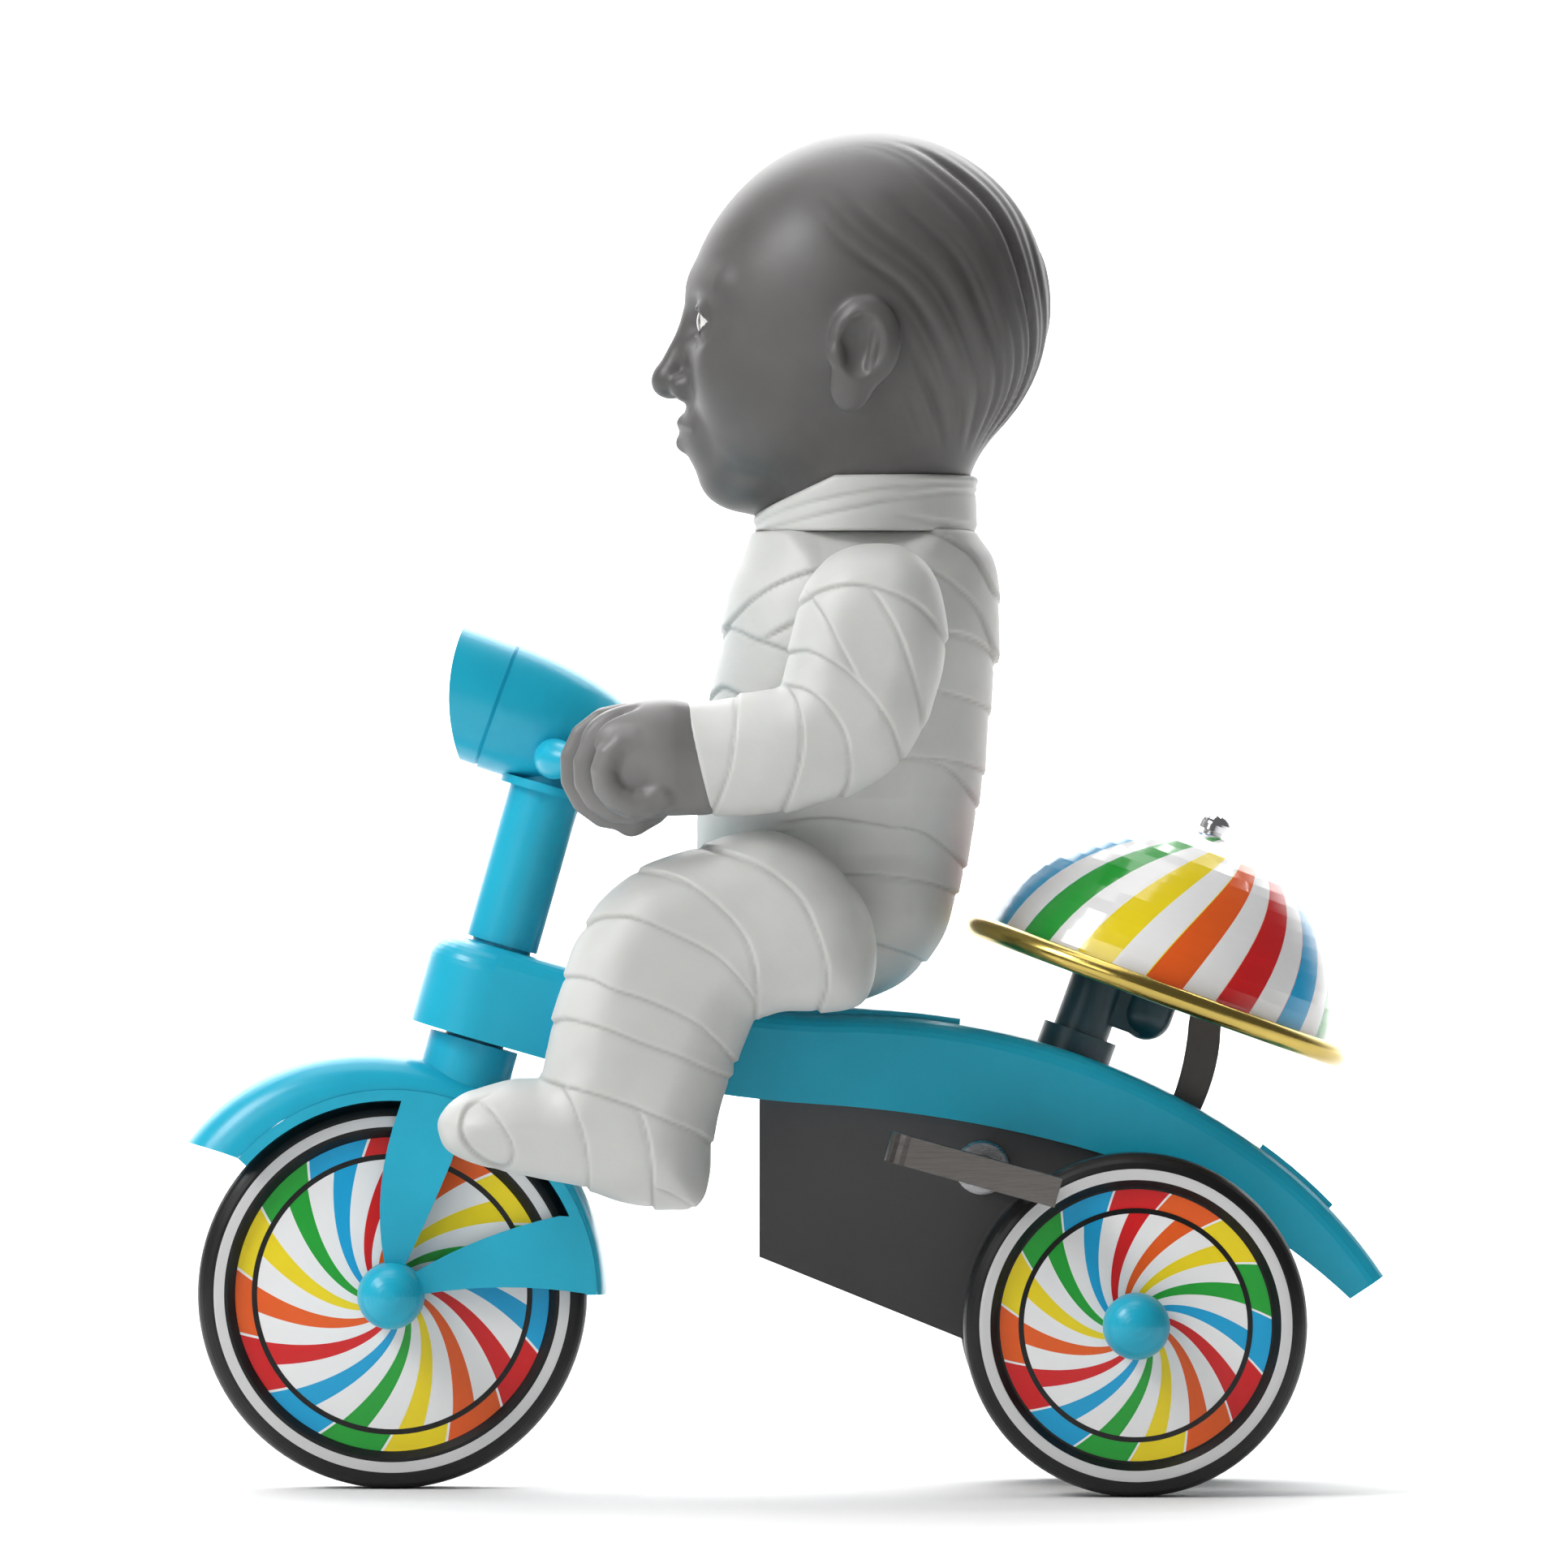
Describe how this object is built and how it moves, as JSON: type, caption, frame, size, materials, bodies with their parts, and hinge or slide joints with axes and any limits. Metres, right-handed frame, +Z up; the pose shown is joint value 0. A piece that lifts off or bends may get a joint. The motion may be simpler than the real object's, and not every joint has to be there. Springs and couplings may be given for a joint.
{
  "type": "wind-up toy tricycle",
  "caption": "Clockwork toy tricycle with a bandage-wrapped seated rider, a bullet headlight, swirl-patterned wheels and a domed bell behind the seat",
  "frame": {"origin": "on the ground under the middle of the toy: middle of the bounding box in X and Y, bottom in Z", "axes": "-X is the way the toy faces, +Z is up, Y is across; the rider's left side is -Y"},
  "size_m": [0.0971, 0.0436, 0.1101],
  "materials": {
    "frame_shell": "glossy cyan moulding",
    "motor_case_left": "dark grey satin moulding",
    "motor_case_right": "dark grey satin moulding",
    "case_screws": "bright steel",
    "mainspring": "dark spring steel",
    "spring_post": "bright steel",
    "key_eyelet": "bright steel",
    "bell_bracket": "very dark teal moulding",
    "bell_post": "bright steel",
    "bracket_screw": "bright steel",
    "striker_pin": "bright steel",
    "torso": "off-white moulding with sculpted bandage wraps",
    "seat_screw": "bright steel",
    "steering_column": "glossy cyan moulding",
    "fork_stem": "glossy cyan moulding",
    "front_fender": "glossy cyan moulding",
    "fork_blade_left": "glossy cyan moulding",
    "fork_blade_right": "glossy cyan moulding",
    "handlebar": "glossy cyan moulding",
    "lamp_shell": "glossy cyan moulding",
    "lamp_hood": "glossy cyan moulding",
    "lamp_reflector": "bright plated",
    "lamp_lens": "clear moulding",
    "front_axle": "bright steel",
    "front_hub_caps": "glossy cyan moulding",
    "front_tyre": "satin black with a white ring",
    "front_discs": "white with coloured swirls",
    "front_hub": "plain white moulding",
    "rear_axle": "bright steel",
    "rear_tyre_left": "satin black with a white ring",
    "rear_tyre_right": "satin black with a white ring",
    "rear_discs_left": "white with coloured swirls",
    "rear_discs_right": "white with coloured swirls",
    "rear_hub_left": "plain white moulding",
    "rear_hub_right": "plain white moulding",
    "rear_hub_caps": "glossy cyan moulding",
    "axle_pinion": "cut brass",
    "star_cam": "bright steel",
    "idler_arbor": "bright steel",
    "idler_gear": "cut brass",
    "idler_pinion": "cut brass",
    "key_bow": "bright steel",
    "winding_arbor": "bright steel",
    "great_wheel": "cut brass",
    "bell_dome": "white with coloured swirls",
    "bell_rim": "polished",
    "bell_nut": "bright plated",
    "striker_lever": "dark spring steel",
    "striker_hammer": "bright steel",
    "head": "dark grey satin moulding",
    "neck_wrap": "off-white moulding with sculpted bandage wraps",
    "left_arm": "off-white moulding with sculpted bandage wraps",
    "left_hand": "dark grey satin moulding",
    "right_arm": "off-white moulding with sculpted bandage wraps",
    "right_hand": "dark grey satin moulding",
    "left_leg": "off-white moulding with sculpted bandage wraps",
    "right_leg": "off-white moulding with sculpted bandage wraps"
  },
  "bodies": {
    "frame": {"frame_shell": "frame_shell", "motor_case_left": "motor_case_left", "motor_case_right": "motor_case_right", "case_screws": "case_screws", "mainspring": "mainspring", "spring_post": "spring_post", "key_eyelet": "key_eyelet", "bell_bracket": "bell_bracket", "bell_post": "bell_post", "bell_nut": "bell_nut", "bracket_screw": "bracket_screw", "striker_pin": "striker_pin", "torso": "torso", "seat_screw": "seat_screw"},
    "fork": {"steering_column": "steering_column", "fork_stem": "fork_stem", "front_fender": "front_fender", "fork_blade_left": "fork_blade_left", "fork_blade_right": "fork_blade_right", "handlebar": "handlebar", "lamp_shell": "lamp_shell", "lamp_hood": "lamp_hood", "lamp_reflector": "lamp_reflector", "lamp_lens": "lamp_lens"},
    "front_wheel": {"front_axle": "front_axle", "front_hub_caps": "front_hub_caps", "front_tyre": "front_tyre", "front_discs": "front_discs", "front_hub": "front_hub"},
    "rear_wheels": {"rear_axle": "rear_axle", "rear_tyre_left": "rear_tyre_left", "rear_tyre_right": "rear_tyre_right", "rear_discs_left": "rear_discs_left", "rear_discs_right": "rear_discs_right", "rear_hub_left": "rear_hub_left", "rear_hub_right": "rear_hub_right", "rear_hub_caps": "rear_hub_caps", "axle_pinion": "axle_pinion", "star_cam": "star_cam"},
    "idler": {"idler_arbor": "idler_arbor", "idler_gear": "idler_gear", "idler_pinion": "idler_pinion"},
    "winding": {"winding_arbor": "winding_arbor", "great_wheel": "great_wheel", "key_bow": "key_bow"},
    "bell": {"bell_dome": "bell_dome", "bell_rim": "bell_rim"},
    "striker": {"striker_lever": "striker_lever", "striker_hammer": "striker_hammer"},
    "head": {"head": "head", "neck_wrap": "neck_wrap"},
    "left_arm": {"left_arm": "left_arm", "left_hand": "left_hand"},
    "right_arm": {"right_arm": "right_arm", "right_hand": "right_hand"},
    "left_leg": {"left_leg": "left_leg"},
    "right_leg": {"right_leg": "right_leg"}
  },
  "joints": [
    {"name": "steering", "type": "hinge", "parent": "frame", "child": "fork", "pos_m": [-0.03113, 0, 0.01561], "axis": [0.2756, 0, 0.9613], "range_deg": [-5, 5]},
    {"name": "front_wheel_spin", "type": "hinge", "parent": "fork", "child": "front_wheel", "pos_m": [-0.0318, 0, 0.0158], "axis": [0, 1, 0], "continuous": true},
    {"name": "rear_axle_spin", "type": "hinge", "parent": "frame", "child": "rear_wheels", "pos_m": [0.0282, 0, 0.0138], "axis": [0, 1, 0], "continuous": true},
    {"name": "idler_spin", "type": "hinge", "parent": "frame", "child": "idler", "pos_m": [0.02112, 0, 0.01753], "axis": [0, 1, 0], "continuous": true},
    {"name": "key_turn", "type": "hinge", "parent": "frame", "child": "winding", "pos_m": [0.01604, 0, 0.02614], "axis": [0, 1, 0], "continuous": true},
    {"name": "bell_spin", "type": "hinge", "parent": "frame", "child": "bell", "pos_m": [0.0302, 0, 0.04045], "axis": [0.342, 0, 0.9397], "continuous": true},
    {"name": "striker_swing", "type": "hinge", "parent": "frame", "child": "striker", "pos_m": [0.0316, 0, 0.0286], "axis": [0, 1, 0], "range_deg": [-3, 0], "stiffness_Nm_per_rad": 0.002},
    {"name": "head_turn", "type": "hinge", "parent": "frame", "child": "head", "pos_m": [0.00665, 0, 0.0776], "axis": [0, 0, 1], "range_deg": [-90, 90]},
    {"name": "left_shoulder", "type": "hinge", "parent": "frame", "child": "left_arm", "pos_m": [0.007, -0.0146, 0.0715], "axis": [0, 1, 0], "range_deg": [-4, 4]},
    {"name": "right_shoulder", "type": "hinge", "parent": "frame", "child": "right_arm", "pos_m": [0.007, 0.0146, 0.0715], "axis": [0, 1, 0], "range_deg": [-4, 4]},
    {"name": "left_hip", "type": "hinge", "parent": "frame", "child": "left_leg", "pos_m": [0.0006, -0.0121, 0.0453], "axis": [0, 1, 0], "range_deg": [-8, 7]},
    {"name": "right_hip", "type": "hinge", "parent": "frame", "child": "right_leg", "pos_m": [0.0006, 0.0121, 0.0453], "axis": [0, 1, 0], "range_deg": [-8, 7]}
  ],
  "couplings": [
    {"joint": "idler_spin", "follows": "rear_axle_spin", "ratio": -0.42857},
    {"joint": "key_turn", "follows": "rear_axle_spin", "ratio": 0.10714},
    {"joint": "left_shoulder", "follows": "steering", "ratio": -0.4485},
    {"joint": "right_shoulder", "follows": "steering", "ratio": 0.4485}
  ]
}
